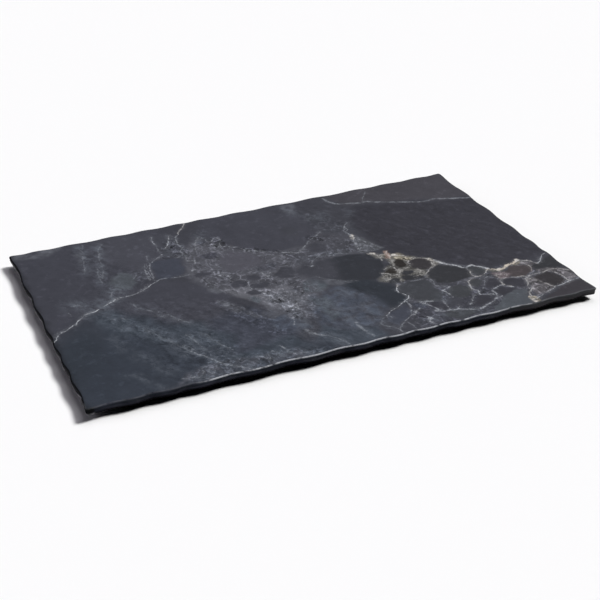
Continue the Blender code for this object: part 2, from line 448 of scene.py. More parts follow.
def socket_cutter():
    """Round plugs that sink a socket into the underside over each foot."""
    coords, faces = [], []
    radius = foot_radius + SOCKET_CLEARANCE
    for name in FOOT_NODES:
        low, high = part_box(name)
        centre = (low + high) / 2
        first = len(coords)
        for level in (plate_bottom - SOCKET_DEPTH, plate_bottom + SOCKET_DEPTH):
            for index in range(SOCKET_SIDES):
                angle = 2 * math.pi * index / SOCKET_SIDES
                x, y = centre.x + radius * math.cos(angle), centre.y + radius * math.sin(angle)
                coords.append((x, y, level))
        lower = range(first, first + SOCKET_SIDES)
        upper = range(first + SOCKET_SIDES, first + 2 * SOCKET_SIDES)
        faces.append(tuple(reversed(lower)))
        faces.append(tuple(upper))
        for index in range(SOCKET_SIDES):
            after = (index + 1) % SOCKET_SIDES
            faces.append((lower[index], lower[after], upper[after], upper[index]))
    mesh = bpy.data.meshes.new("socket_plugs")
    mesh.from_pydata(coords, [], faces)
    return new_object("socket_plugs", mesh)


def build_body():
    body = new_object("moulded_body", loft_mesh("moulded_body", body_rings))
    tree, keys = knapped_tree()
    knap = body.modifiers.new("knapped side", "NODES")
    knap.node_group = tree
    knap[keys["Material"]] = body_material()
    plugs = socket_cutter()
    sockets = body.modifiers.new("foot sockets", "BOOLEAN")
    sockets.operation = "DIFFERENCE"
    sockets.object = plugs
    sockets.solver = "EXACT"
    as_plain_mesh(body)
    bpy.data.objects.remove(plugs)
    smooth_shaded(body.data)
    return body


moulded_body = build_body()
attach(moulded_body, "root")
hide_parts("platter_body")


# The stone face: a printed paper with a dark marble, soaked in melamine and pressed flush into the moulding
# under a clear overlay. Press and heat fuse the two, so they show as one satin sheet that runs out to the
# lip. The marble is drawn in millimetres from the middle of the face.

FACE_CELL = 0.0015
FACE_CLEARANCE = 0.00003
FACE_THICKNESS = 0.0010

# Colours of the marble as they look under plain light, in 8-bit sRGB
STONE = {
    "slate": (59, 60, 67),
    "left slate": (61, 62, 70),
    "upper slate": (67, 68, 76),
    "low left": (48, 53, 61),
    "cool slate": (51, 56, 65),
    "middle slate": (62, 63, 71),
    "breccia": (83, 84, 91),
    "flat breccia": (77, 77, 85),
    "dim breccia": (70, 71, 78),
    "pale breccia": (101, 102, 109),
    "right slate": (51, 51, 58),
    "far slate": (65, 64, 70),
    "haze": (86, 88, 95),
    "deep haze": (74, 76, 84),
    "dim haze": (65, 67, 74),
    "blue slate": (70, 76, 88),
    "blue shade": (60, 66, 75),
    "blue green": (79, 85, 92),
    "teal haze": (64, 71, 80),
    "teal": (43, 47, 54),
    "deep blue": (61, 64, 74),
    "clast": (47, 48, 52),
    "deep clast": (45, 47, 53),
    "soft clast": (60, 61, 68),
    "warm clast": (50, 48, 51),
    "dusk clast": (53, 53, 60),
    "brown clast": (66, 61, 63),
    "grey clast": (58, 60, 64),
    "mist clast": (59, 61, 66),
    "pale clast": (74, 78, 84),
    "pale streaks": (84, 86, 92),
    "dark brown": (40, 37, 35),
    "cream patch": (126, 120, 106),
    "rust": (130, 112, 105),
    "rubble": (70, 71, 78),
    "low rubble": (62, 63, 71),
    "pale rubble": (90, 89, 87),
    "pink rubble": (92, 90, 94),
    "pink haze": (100, 91, 95),
    "corner slate": (57, 55, 60),
}

# Fields that come and go in lumps, and pieces that are smooth inside
HAZY = ("haze", "deep haze", "dim haze", "teal haze", "blue green", "blue slate", "cream patch")
SMOOTH = (
    "clast", "deep clast", "soft clast", "warm clast", "dusk clast", "brown clast", "grey clast",
    "mist clast", "pale clast", "dark brown", "teal", "flat breccia",
)

# Fields and broken pieces of the marble, painted in this order: colour, softness of the edge, outline
FIELDS = [
    ("left slate", 40, [(-270, 170), (-85, 170), (-95, 60), (-130, 42), (-265, -40)]),
    ("upper slate", 30, [
        (-178, 170), (-112, 160), (-116, 100), (-132, 84), (-140, 60), (-164, 90), (-180, 130),
    ]),
    ("middle slate", 18, [
        (-190, 10), (-130, 38), (-97, 18), (-78, -24), (-100, -60), (-150, -50), (-180, -20),
    ]),
    ("low left", 45, [(-270, -45), (-225, -15), (-215, -70), (-200, -170), (-270, -170)]),
    ("cool slate", 30, [
        (-215, -5), (-190, -10), (-140, -60), (-110, -110), (-60, -140), (-20, -140), (-20, -170),
        (-270, -170), (-230, -60),
    ]),
    ("middle slate", 14, [
        (-45, 170), (60, 170), (66, 110), (62, 80), (40, 56), (0, 52), (-40, 88), (-58, 128),
    ]),
    ("far slate", 14, [(108, 170), (270, 170), (270, 90), (178, 116), (117, 138)]),
    ("right slate", 14, [
        (125, 128), (270, 85), (270, -70), (228, -78), (190, -80), (130, -25), (112, 0), (103, 68),
    ]),
    ("breccia", 9, [
        (-92, 104), (-94, 60), (-98, 20), (-95, -4), (-77, -21), (-61, -40), (-50, -62), (-40, -92),
        (-20, -98), (0, -60), (20, -46), (14, -14), (3, 0), (18, 10), (75, 14), (84, 12), (92, 50),
        (66, 76), (40, 54), (0, 50), (-18, 63), (-36, 81), (-46, 88), (-60, 118),
    ]),
    ("pale breccia", 12, [
        (-82, -8), (-60, -10), (-45, -24), (-20, -24), (-10, -40), (-12, -62), (-30, -76), (-44, -60),
        (-52, -36), (-74, -22),
    ]),
    ("dim breccia", 8, [
        (6, 14), (8, 46), (40, 56), (66, 78), (94, 52), (106, 28), (104, 10), (84, 12), (60, 14),
        (20, 12),
    ]),
    ("flat breccia", 8, [(-62, 58), (-42, 74), (-24, 60), (-24, 34), (-40, 28), (-58, 34)]),
    ("flat breccia", 5, [(-30, 30), (-10, 28), (-6, 20), (-14, 14), (-28, 18)]),
    ("teal haze", 20, [(-214, 2), (-190, -8), (-168, -50), (-156, -84), (-175, -75), (-207, -45)]),
    ("dim haze", 12, [(66, 130), (80, 128), (92, 100), (100, 70), (92, 50), (66, 76), (64, 100)]),
    ("haze", 8, [(46, 166), (66, 166), (62, 150), (60, 132), (54, 140), (50, 152)]),
    ("haze", 7, [(-268, 166), (-204, 166), (-212, 152), (-226, 147), (-244, 145), (-266, 150)]),
    ("pale clast", 8, [
        (-185, 60), (-178, 68), (-165, 70), (-157, 60), (-160, 45), (-172, 35), (-186, 42),
    ]),
    ("deep haze", 9, [(-160, 66), (-146, 72), (-136, 62), (-142, 48), (-156, 46)]),
    ("dim haze", 8, [(-112, 142), (-92, 142), (-84, 110), (-88, 84), (-110, 88), (-114, 100)]),
    ("haze", 6, [(-200, 136), (-190, 136), (-191, 120), (-198, 118)]),
    ("deep blue", 6, [(-130, 82), (-112, 88), (-97, 82), (-94, 60), (-98, 45), (-116, 42), (-131, 44)]),
    ("deep blue", 16, [
        (-112, -60), (-64, -52), (-46, -75), (-40, -112), (-58, -142), (-110, -138), (-122, -100),
    ]),
    ("blue slate", 12, [
        (-6, -56), (30, -50), (50, -58), (56, -84), (60, -100), (56, -116), (44, -128), (30, -142),
        (0, -136), (-22, -112), (-22, -88),
    ]),
    ("blue shade", 14, [(-158, -60), (-122, -58), (-104, -100), (-112, -122), (-134, -110), (-150, -84)]),
    ("blue shade", 14, [(-126, -128), (-50, -124), (-40, -146), (-118, -150)]),
    ("blue slate", 10, [(-62, -84), (-40, -82), (-34, -112), (-52, -118), (-64, -104)]),
    ("blue green", 10, [(-12, -64), (6, -62), (8, -104), (-8, -114)]),
    ("blue green", 5, [(0, -25), (16, -22), (24, -32), (20, -48), (6, -52), (-6, -44)]),
    ("teal", 15, [
        (38, -44), (72, -46), (78, -60), (84, -76), (84, -90), (88, -102), (74, -112), (60, -116),
        (56, -100), (50, -80), (40, -62),
    ]),
    ("deep clast", 2.2, [
        (18, -5), (33, 8), (44, 10), (56, 11.6), (69, 12), (76, 8), (90, 5), (95, -2), (95, -13),
        (90, -28), (87, -40), (80, -46), (72, -50), (54, -46), (43, -41), (30, -32), (18, -16),
    ]),
    ("soft clast", 24, [(6, -6), (28, 12), (44, 10), (42, -14), (38, -34), (16, -28)]),
    ("haze", 2.5, [(20, -27), (31, -35), (44, -45), (52, -48), (32, -48), (22, -40)]),
    ("pale streaks", 3, [
        (94, 56), (103, 42), (108, 28), (112, 12), (105, 9), (93, 8), (83, 12), (85, 26), (89, 42),
    ]),
    ("soft clast", 4, [(38, 48), (48, 52), (56, 44), (55, 34), (46, 29), (38, 36)]),
    ("slate", 14, [(28, 100), (40, 104), (46, 90), (40, 78), (28, 82)]),
    ("soft clast", 2.5, [(-95, 35), (-87, 40), (-78, 33), (-82, 29), (-94, 30)]),
    ("soft clast", 2, [(-69, -1), (-61, 7), (-54, 2), (-51, -6), (-57, -9), (-68, -7)]),
    ("soft clast", 2, [(-49, 3), (-46, 11), (-38, 9), (-36, 2), (-42, -1), (-48, 0)]),
    ("soft clast", 2, [(-51, -11), (-44, -8), (-33, -9), (-31, -15), (-38, -19), (-51, -19)]),
    ("soft clast", 2.5, [(-59, -24), (-51, -22), (-46, -28), (-51, -32), (-58, -30)]),
    ("soft clast", 2, [(-18, 2), (-8, 14), (3, 10), (0, 0), (-3, -11), (-15, -7)]),
    ("soft clast", 2, [(-18, -38), (-11, -34), (-8, -39), (-13, -43)]),
    ("middle slate", 2, [(-77, 77), (-62, 79), (-57, 75), (-62, 65), (-72, 66)]),
    ("middle slate", 2, [(-68, 108), (-64, 116), (-58, 112), (-59, 104), (-66, 102)]),
    ("slate", 4, [(-80, -28), (-70, -30), (-60, -46), (-56, -58), (-62, -56), (-72, -42)]),
    ("blue green", 3, [(-62, -32), (-52, -36), (-50, -46), (-57, -50), (-61, -42)]),
    ("haze", 4, [(-95, 0), (-87, 8), (-81, -2), (-78, -14), (-86, -14), (-93, -9)]),
    ("deep haze", 6, [(-34, 26), (-10, 30), (-4, 18), (-18, 12), (-32, 14)]),
    ("haze", 6, [(-46, -30), (-16, -32), (-10, -50), (-20, -66), (-36, -66), (-46, -48)]),
    ("haze", 5, [(-62, -68), (-50, -66), (-44, -78), (-54, -86), (-64, -80)]),
    ("haze", 6, [(-96, -30), (-86, -34), (-66, -62), (-60, -76), (-68, -76), (-82, -58), (-94, -42)]),
    ("deep haze", 9, [
        (-180, -166), (-162, -148), (-142, -134), (-120, -138), (-96, -142), (-60, -146), (-45, -166),
    ]),
    ("blue shade", 10, [(-22, -112), (0, -136), (30, -142), (36, -160), (-10, -162), (-32, -140)]),
    ("rubble", 4, [
        (93, 4), (104, -3), (114, -8), (126, -18), (136, -27), (147, -33), (156, -48), (166, -60),
        (176, -64), (186, -74), (193, -82), (204, -84), (214, -80), (228, -73), (234, -80), (240, -88),
        (250, -104), (264, -110), (264, -136), (250, -137), (230, -143), (204, -152), (198, -166),
        (70, -166), (66, -144), (76, -118), (84, -98), (80, -84), (86, -70), (76, -62), (72, -54),
        (80, -48), (88, -42), (90, -34), (100, -28), (103, -15), (95, -8),
    ]),
    ("pale rubble", 5, [
        (93, 4), (104, -3), (114, -8), (126, -18), (136, -27), (147, -33), (154, -48), (146, -50),
        (130, -52), (124, -66), (86, -68), (74, -58), (74, -52), (88, -42), (90, -34), (100, -28),
        (103, -15), (95, -8),
    ]),
    ("low rubble", 10, [
        (88, -104), (118, -92), (150, -94), (170, -106), (196, -126), (176, -140), (150, -164),
        (72, -164), (66, -140), (78, -116),
    ]),
    ("dark brown", 1.5, [
        (113, -18), (118, -24), (117, -32), (113, -37), (107, -40), (105, -33), (108, -26),
    ]),
    ("dark brown", 1.5, [(88, -41), (93, -37), (101, -37), (101, -43), (97, -48), (91, -47)]),
    ("warm clast", 1.5, [
        (121, -31), (128, -27), (136, -29), (142, -36), (143, -41), (138, -46), (132, -52), (127, -53),
        (120, -46), (119, -38),
    ]),
    ("clast", 1.5, [(103, -52), (107, -48), (114, -50), (113, -56), (105, -57)]),
    ("clast", 1.5, [(82, -62), (90, -58), (95, -60), (93, -67), (86, -69), (81, -67)]),
    ("clast", 1.5, [(99, -60), (107, -58), (116, -62), (118, -67), (110, -69), (100, -68)]),
    ("clast", 1.5, [
        (126, -62), (133, -55), (142, -51), (152, -54), (160, -60), (166, -67), (167, -80), (163, -87),
        (150, -90), (135, -90), (126, -85), (123, -72),
    ]),
    ("mist clast", 1.5, [
        (84, -78), (92, -72), (104, -73), (116, -73), (119, -82), (118, -98), (115, -113), (108, -119),
        (98, -117), (90, -110), (86, -100), (83, -92), (82, -84),
    ]),
    ("grey clast", 1.5, [
        (170, -70), (176, -67), (183, -72), (186, -79), (180, -86), (172, -87), (169, -80),
    ]),
    ("grey clast", 2, [
        (128, -104), (136, -99), (143, -99), (149, -106), (149, -115), (143, -122), (134, -124),
        (127, -118), (126, -110),
    ]),
    ("grey clast", 2, [(157, -98), (164, -95), (168, -100), (164, -108), (157, -110), (154, -104)]),
    ("dusk clast", 1.5, [(171, -108), (178, -101), (184, -103), (184, -114), (176, -117), (166, -116)]),
    ("dusk clast", 2, [
        (190, -108), (200, -110), (210, -113), (207, -122), (202, -128), (194, -125), (187, -117),
    ]),
    ("brown clast", 1.5, [
        (201, -92), (210, -88), (222, -85), (230, -88), (231, -95), (227, -103), (216, -109), (205, -106),
        (199, -100),
    ]),
    ("warm clast", 1.5, [
        (219, -116), (228, -113), (240, -113), (246, -120), (248, -130), (246, -136), (236, -140),
        (229, -139), (222, -126),
    ]),
    ("dusk clast", 1.5, [
        (171, -125), (178, -122), (190, -126), (192, -131), (186, -134), (176, -135), (170, -131),
    ]),
    ("pale clast", 1.5, [
        (172, -140), (190, -132), (198, -135), (194, -145), (193, -152), (188, -163), (152, -163),
        (153, -155), (163, -148),
    ]),
    ("dusk clast", 2, [(95, -120), (103, -121), (110, -123), (110, -137), (104, -138), (99, -130)]),
    ("soft clast", 2, [(114, -122), (124, -120), (133, -124), (128, -132), (118, -135), (112, -130)]),
    ("grey clast", 2, [
        (101, -146), (113, -143), (122, -147), (130, -151), (128, -157), (110, -160), (101, -155),
    ]),
    ("dusk clast", 2, [
        (141, -133), (150, -127), (157, -129), (155, -140), (144, -146), (135, -147), (137, -139),
    ]),
    ("deep blue", 2.5, [(80, -112), (88, -113), (94, -122), (90, -128), (82, -126)]),
    ("deep blue", 4, [(52, -122), (74, -112), (74, -126), (62, -138), (50, -146), (44, -134)]),
    ("clast", 4, [(232, -92), (242, -92), (264, -80), (264, -106), (250, -105), (236, -106)]),
    ("corner slate", 6, [(215, -152), (248, -140), (266, -140), (266, -166), (205, -166)]),
    ("pink rubble", 3, [
        (211, -116), (218, -117), (225, -128), (229, -139), (228, -145), (214, -149), (205, -151),
        (206, -138), (210, -127),
    ]),
    ("pink rubble", 3, [
        (240, -107), (252, -106), (264, -113), (264, -133), (253, -135), (250, -122), (246, -113),
    ]),
    ("pink rubble", 3, [(232, -100), (240, -103), (251, -105), (247, -112), (236, -110)]),
    ("pink rubble", 4, [(216, -83), (227, -79), (237, -82), (239, -90), (231, -93), (224, -87)]),
    ("cream patch", 3, [(103, -3), (111, -2), (120, -8), (131, -24), (124, -27), (113, -19), (106, -16)]),
    ("rust", 2, [(109, 4), (113, 3), (111, -6), (107, -15), (103, -14), (106, -5)]),
    ("pink haze", 4, [(188, -90), (199, -92), (204, -100), (198, -107), (188, -104)]),
    ("cream patch", 2.0, [(192, -149), (200, -151), (200, -166), (190, -166)]),
    ("pale rubble", 2.5, [(186, -79), (198, -84), (204, -83), (200, -91), (190, -89)]),
    ("cream patch", 1.8, [(212, -84), (222, -79), (229, -76), (227, -81), (215, -86)]),
]

# How each kind of vein runs: half its width, how strongly it shows, its share of cream
VEIN_KINDS = {
    "bolt": (0.60, 0.60, 0.08),
    "seam": (1.80, 0.80, 0.58),
    "pale seam": (1.50, 0.58, 0.10),
    "cream": (0.85, 0.46, 0.28),
    "mortar": (0.95, 0.40, 0.06),
    "thread": (0.85, 0.27, 0.03),
    "faint": (0.85, 0.14, 0.00),
    "band": (1.60, 0.20, 0.00),
    "spot": (1.20, 0.34, 0.02),
    "flare": (2.30, 0.85, 0.40),
}
VEINS = {
    "bolt": [
        [
            (-264, -43), (-258, -34), (-255, -27), (-246, -22), (-235, -14), (-227, -5), (-222, 0),
            (-212, 2), (-200, 9), (-190, 15), (-183, 21), (-170, 21), (-162, 22), (-153, 27), (-145, 33),
            (-138, 38),
        ],
        [(-91, 138), (-94, 129), (-97, 121), (-101, 115), (-104, 111)],
        [
            (84, -77), (81, -81), (80, -87), (83, -93), (86, -97), (84, -101), (78, -106), (70, -111),
            (56, -118), (47, -125),
        ],
        [(264, -137), (253, -137), (239, -141), (225, -146), (212, -150), (201, -156)],
        [(242, -91), (248, -87), (253, -81), (258, -75), (264, -73)],
    ],
    "seam": [
        [(188, -80), (198, -87), (204, -86), (211, -81), (220, -79), (227, -75)],
        [(195, -150), (196, -166)],
    ],
    "pale seam": [
        [(92, 6), (95, 1)],
        [(147, -37), (150, -42), (151, -47), (154, -51), (159, -56), (164, -61), (166, -66), (169, -67)],
        [(169, -67), (177, -65), (183, -71), (187, -77), (190, -81)],
    ],
    "cream": [
        [(95, 1), (100, -3), (106, -5)],
        [(109, -5), (114, -9), (122, -15), (130, -24)],
        [(131, -25), (138, -29), (144, -33)],
        [(146, -40), (145, -45), (141, -49)],
        [(-63, 166), (-68, 157), (-73, 150), (-78, 144), (-80, 138)],
        [(227, -75), (229, -78), (236, -80), (239, -85), (242, -91)],
        [(111, 1), (107, -9), (107, -17), (106, -26), (102, -33), (96, -33), (89, -36)],
        [(98, -1), (98, -10), (97, -16)],
        [(102, -34), (101, -42), (105, -43), (100, -50), (97, -55)],
        [(131, -25), (123, -28), (119, -32), (120, -36), (117, -41), (110, -44), (104, -44)],
        [(122, -49), (123, -55), (118, -61), (110, -63)],
        [(84, -42), (89, -46), (92, -52), (100, -50)],
        [(144, -38), (140, -48), (132, -56), (126, -62), (122, -70)],
        [(91, -51), (86, -56), (80, -60)],
        [(88, -70), (84, -77)],
        [(168, -67), (169, -76), (167, -84), (168, -90), (177, -90), (183, -86), (189, -81)],
        [(168, -90), (161, -93), (155, -97), (153, -104), (151, -112)],
        [(188, -95), (195, -97), (200, -97), (197, -103), (192, -105), (189, -100), (190, -95)],
        [(190, -104), (186, -108), (184, -116), (190, -123)],
        [(229, -78), (231, -87), (231, -95), (228, -103), (222, -108), (217, -113)],
        [(197, -106), (206, -108), (213, -109), (217, -113)],
        [
            (214, -116), (220, -111), (228, -110), (237, -110), (244, -108), (250, -108), (257, -111),
            (264, -117),
        ],
        [(217, -117), (221, -124), (225, -131), (227, -138), (230, -143)],
        [(246, -113), (249, -122), (250, -132), (250, -137)],
        [(213, -116), (210, -122), (207, -128), (204, -135)],
        [(207, -135), (203, -139), (199, -143), (197, -149)],
    ],
    "mortar": [
        [(146, -124), (141, -130), (138, -135), (133, -139)],
        [(112, -123), (111, -128), (111, -135)],
        [(96, -136), (102, -141), (110, -141), (117, -142), (121, -137)],
        [
            (117, -142), (124, -146), (131, -149), (140, -151), (147, -147), (156, -144), (164, -139),
            (170, -137),
        ],
        [(166, -138), (168, -130), (167, -123), (173, -120), (181, -117), (187, -122), (191, -125)],
        [(152, -104), (152, -112), (155, -118), (152, -125), (158, -128), (165, -130)],
        [(122, -102), (124, -108), (125, -118)],
        [(122, -102), (128, -100), (133, -98)],
        [(88, -112), (96, -115), (103, -118)],
        [(92, -118), (96, -125), (99, -132), (101, -138)],
        [(82, -143), (85, -148), (80, -152), (82, -157)],
        [(83, -125), (77, -131), (73, -135)],
    ],
    "thread": [
        [(-138, 38), (-130, 42), (-120, 41), (-108, 38), (-100, 40)],
        [(-80, 138), (-85, 133), (-87, 122), (-88, 112), (-87, 103)],
        [(-109, 144), (-112, 136), (-112, 126), (-111, 119), (-113, 106), (-113, 96)],
        [(-113, 96), (-120, 90), (-125, 86), (-131, 80), (-134, 70), (-135, 58), (-137, 48), (-138, 38)],
        [(-141, 44), (-141, 58), (-139, 70), (-136, 82)],
        [(-87, 103), (-91, 98), (-91, 89), (-95, 85), (-100, 83)],
        [(-91, 88), (-91, 80), (-92, 72), (-88, 68), (-84, 70), (-86, 62)],
        [(-75, 93), (-73, 101), (-70, 109), (-66, 116), (-62, 121)],
        [
            (-61, 120), (-57, 114), (-57, 107), (-52, 104), (-50, 108), (-46, 112), (-42, 108),
            (-43, 102), (-46, 96), (-49, 87),
        ],
        [
            (-49, 87), (-41, 86), (-36, 81), (-30, 79), (-27, 70), (-23, 66), (-18, 63), (-11, 60),
            (-4, 54), (4, 50), (15, 42), (25, 38),
        ],
        [(104, 86), (98, 80), (95, 76), (91, 68), (93, 61), (93, 54), (92, 48)],
        [(95, 76), (97, 70), (92, 66)],
        [(95, 46), (100, 36), (102, 24)],
        [(66, 77), (60, 72), (52, 66), (46, 61), (40, 54), (33, 47), (26, 42)],
        [(86, 20), (90, 30), (90, 42)],
        [
            (-149, -110), (-145, -116), (-140, -123), (-136, -131), (-131, -139), (-126, -145),
            (-120, -151), (-113, -157), (-106, -164),
        ],
        [(-172, -152), (-164, -153), (-158, -155), (-151, -159), (-146, -164)],
        [(-86, -152), (-85, -144), (-80, -141), (-76, -144), (-75, -151)],
        [(-69, -134), (-67, -143), (-65, -149), (-61, -154)],
        [(-26, -132), (-19, -138), (-15, -145), (-10, -153), (-7, -164)],
        [(-41, -103), (-38, -94), (-40, -88)],
        [(-33, -62), (-30, -70), (-26, -77), (-24, -70), (-22, -62)],
        [(-65, 12), (-63, 18), (-68, 27), (-72, 31)],
        [(-53, -18), (-52, -11), (-50, -3), (-48, 1)],
        [(-30, 13), (-29, 6), (-27, 0)],
        [(-22, 9), (-25, 2)],
        [(-8, -40), (-7, -47), (-5, -55)],
        [(-47, -25), (-44, -33), (-41, -39), (-44, -45), (-38, -50)],
        [(-33, -45), (-31, -53)],
        [
            (78, -107), (78, -116), (75, -125), (71, -133), (65, -138), (60, -142), (54, -147),
            (47, -154), (48, -164),
        ],
        [(49, -124), (50, -131)],
        [(121, -92), (129, -93)],
        [(160, -117), (166, -110), (171, -104), (174, -97), (180, -95)],
        [(122, -72), (124, -82), (120, -90)],
    ],
    "faint": [
        [(160, 156), (155, 148), (150, 141), (146, 133)],
        [(-191, 129), (-193, 118), (-195, 107), (-197, 96), (-199, 89)],
        [
            (-168, 154), (-165, 149), (-168, 143), (-172, 136), (-174, 126), (-177, 112), (-178, 101),
            (-180, 90), (-182, 78), (-184, 70),
        ],
        [(-185, 157), (-186, 147)],
        [(-190, 146), (-189, 137)],
        [(-184, 96), (-186, 84), (-188, 72), (-188, 58)],
        [(-151, 62), (-157, 54)],
        [(-181, 37), (-176, 30), (-172, 22)],
        [(-184, 35), (-189, 24), (-195, 13)],
        [(-228, 22), (-225, 25), (-222, 23), (-221, 18)],
        [(-236, 11), (-235, 3)],
        [(-200, -19), (-195, -21), (-189, -22), (-187, -26)],
        [
            (-172, 2), (-171, -5), (-166, -12), (-156, -22), (-149, -30), (-143, -39), (-139, -47),
            (-133, -57),
        ],
        [(-159, -31), (-152, -36), (-146, -42), (-141, -48)],
        [(-143, -78), (-139, -92), (-137, -104), (-134, -116)],
        [(-126, -84), (-123, -98), (-118, -112), (-112, -124)],
        [(-150, -96), (-146, -108)],
        [(-175, -52), (-169, -66), (-165, -76), (-160, -86), (-155, -97), (-149, -110)],
        [(-127, -83), (-126, -90), (-124, -97)],
        [(-97, -143), (-91, -147), (-88, -155)],
        [(-58, -155), (-51, -156), (-46, -159)],
        [(-59, -97), (-61, -104)],
        [(18, -20), (24, -27), (31, -34), (42, -42), (52, -46)],
        [(60, -142), (62, -154), (63, -164)],
        [(-88, 20), (-88, 12), (-84, 7), (-86, 2)],
        [(-17, -10), (-18, -17), (-22, -24)],
        [(-54, 98), (-53, 92), (-56, 86), (-54, 82)],
        [(-128, 100), (-130, 93), (-131, 80)],
        [(18, 8), (24, 5), (30, 15), (41, 22), (49, 20), (56, 19), (62, 19), (72, 14)],
        [(87, -62), (88, -70), (96, -71), (108, -71), (119, -70), (123, -65)],
        [
            (-154, -156), (-150, -148), (-151, -143), (-146, -140), (-142, -143), (-146, -149),
            (-143, -156), (-139, -150), (-136, -145),
        ],
        [(45, -126), (39, -131), (35, -137), (38, -143), (43, -148), (47, -154)],
    ],
    "band": [
        [
            (106, 158), (109, 148), (113, 140), (118, 136), (128, 134), (139, 130), (150, 130),
            (162, 122), (178, 115), (190, 109), (204, 103), (217, 101), (227, 103), (239, 97), (252, 92),
            (265, 88),
        ],
        [(-36, -117), (-33, -125), (-26, -132)],
        [(14, -125), (15, -136), (16, -146), (18, -155)],
    ],
    "spot": [
        [(-94, 46), (-93, 48)], [(-72, 24), (-72, 26)], [(-26, 69), (-25, 71)], [(-18, 63), (-17, 64)],
        [(-98, 120), (-97, 123)], [(-87, 103), (-86, 104)], [(23, 4), (25, 5)], [(61, 19), (62, 19)],
        [(41, 23), (43, 22)], [(-38, -92), (-37, -91)], [(-128, -146), (-126, -145)],
        [(82, -148), (81, -150)], [(167, -67), (170, -67)], [(79, -56), (82, -55)],
    ],
    "flare": [
        [(92, 48), (94, 54)], [(92, 5), (95, 2)], [(144, -33), (145, -38)], [(113, -8), (117, -10)],
        [(196, -86), (199, -85)], [(224, -77), (227, -75)], [(195, -154), (196, -162)],
    ],
}

# Soft smoky streaks: half width, strength, points
WISPS = [
    (11, 0.5, [(-214, 2), (-205, -12), (-200, -28), (-188, -42), (-174, -54), (-166, -70), (-156, -90)]),
    (11, 0.7, [(-156, -90), (-148, -108), (-138, -124), (-124, -146), (-106, -162)]),
    (4, 0.9, [
        (-182, -46), (-172, -58), (-166, -72), (-159, -86), (-152, -102), (-145, -116), (-137, -130),
        (-130, -142), (-120, -152),
    ]),
    (5, 0.4, [(-172, 2), (-166, -14), (-150, -30), (-138, -50), (-124, -72), (-118, -86)]),
    (7, 0.6, [(-190, 150), (-188, 128), (-196, 100), (-198, 86)]),
    (7, 0.65, [(-170, 145), (-178, 110), (-182, 84), (-188, 60)]),
    (13, 0.8, [(-226, 24), (-214, 14), (-200, 10), (-190, 22), (-178, 40)]),
    (8, 0.4, [(-208, -56), (-205, -76)]),
    (8, 0.35, [(-196, -98), (-186, -116), (-178, -136)]),
    (3.5, 0.5, [(-216, -127), (-206, -131), (-203, -141), (-199, -150), (-187, -164)]),
    (7, 0.5, [(-140, -82), (-138, -104), (-128, -130), (-118, -150)]),
    (6, 0.5, [(-130, -84), (-122, -110), (-114, -136)]),
    (9, 0.5, [(-160, -158), (-120, -156), (-80, -150), (-40, -158)]),
    (9, 0.6, [(-40, -60), (-30, -80), (-30, -100), (-36, -122), (-18, -140), (-8, -160)]),
    (10, 0.5, [(-10, -60), (0, -80), (14, -100), (16, -150)]),
    (9, 0.4, [(30, -60), (38, -90), (36, -120), (40, -146)]),
    (7, 0.5, [(-52, 132), (-60, 122), (-66, 108)]),
    (8, 0.4, [(56, 150), (60, 128), (72, 112), (84, 108), (86, 120)]),
    (8, 0.5, [(80, -150), (110, -145), (140, -156)]),
    (7, 0.5, [(118, -110), (112, -122)]),
    (5, 0.4, [(120, 112), (110, 92), (104, 80)]),
    (7, 0.4, [(20, 20), (44, 24), (70, 20)]),
]

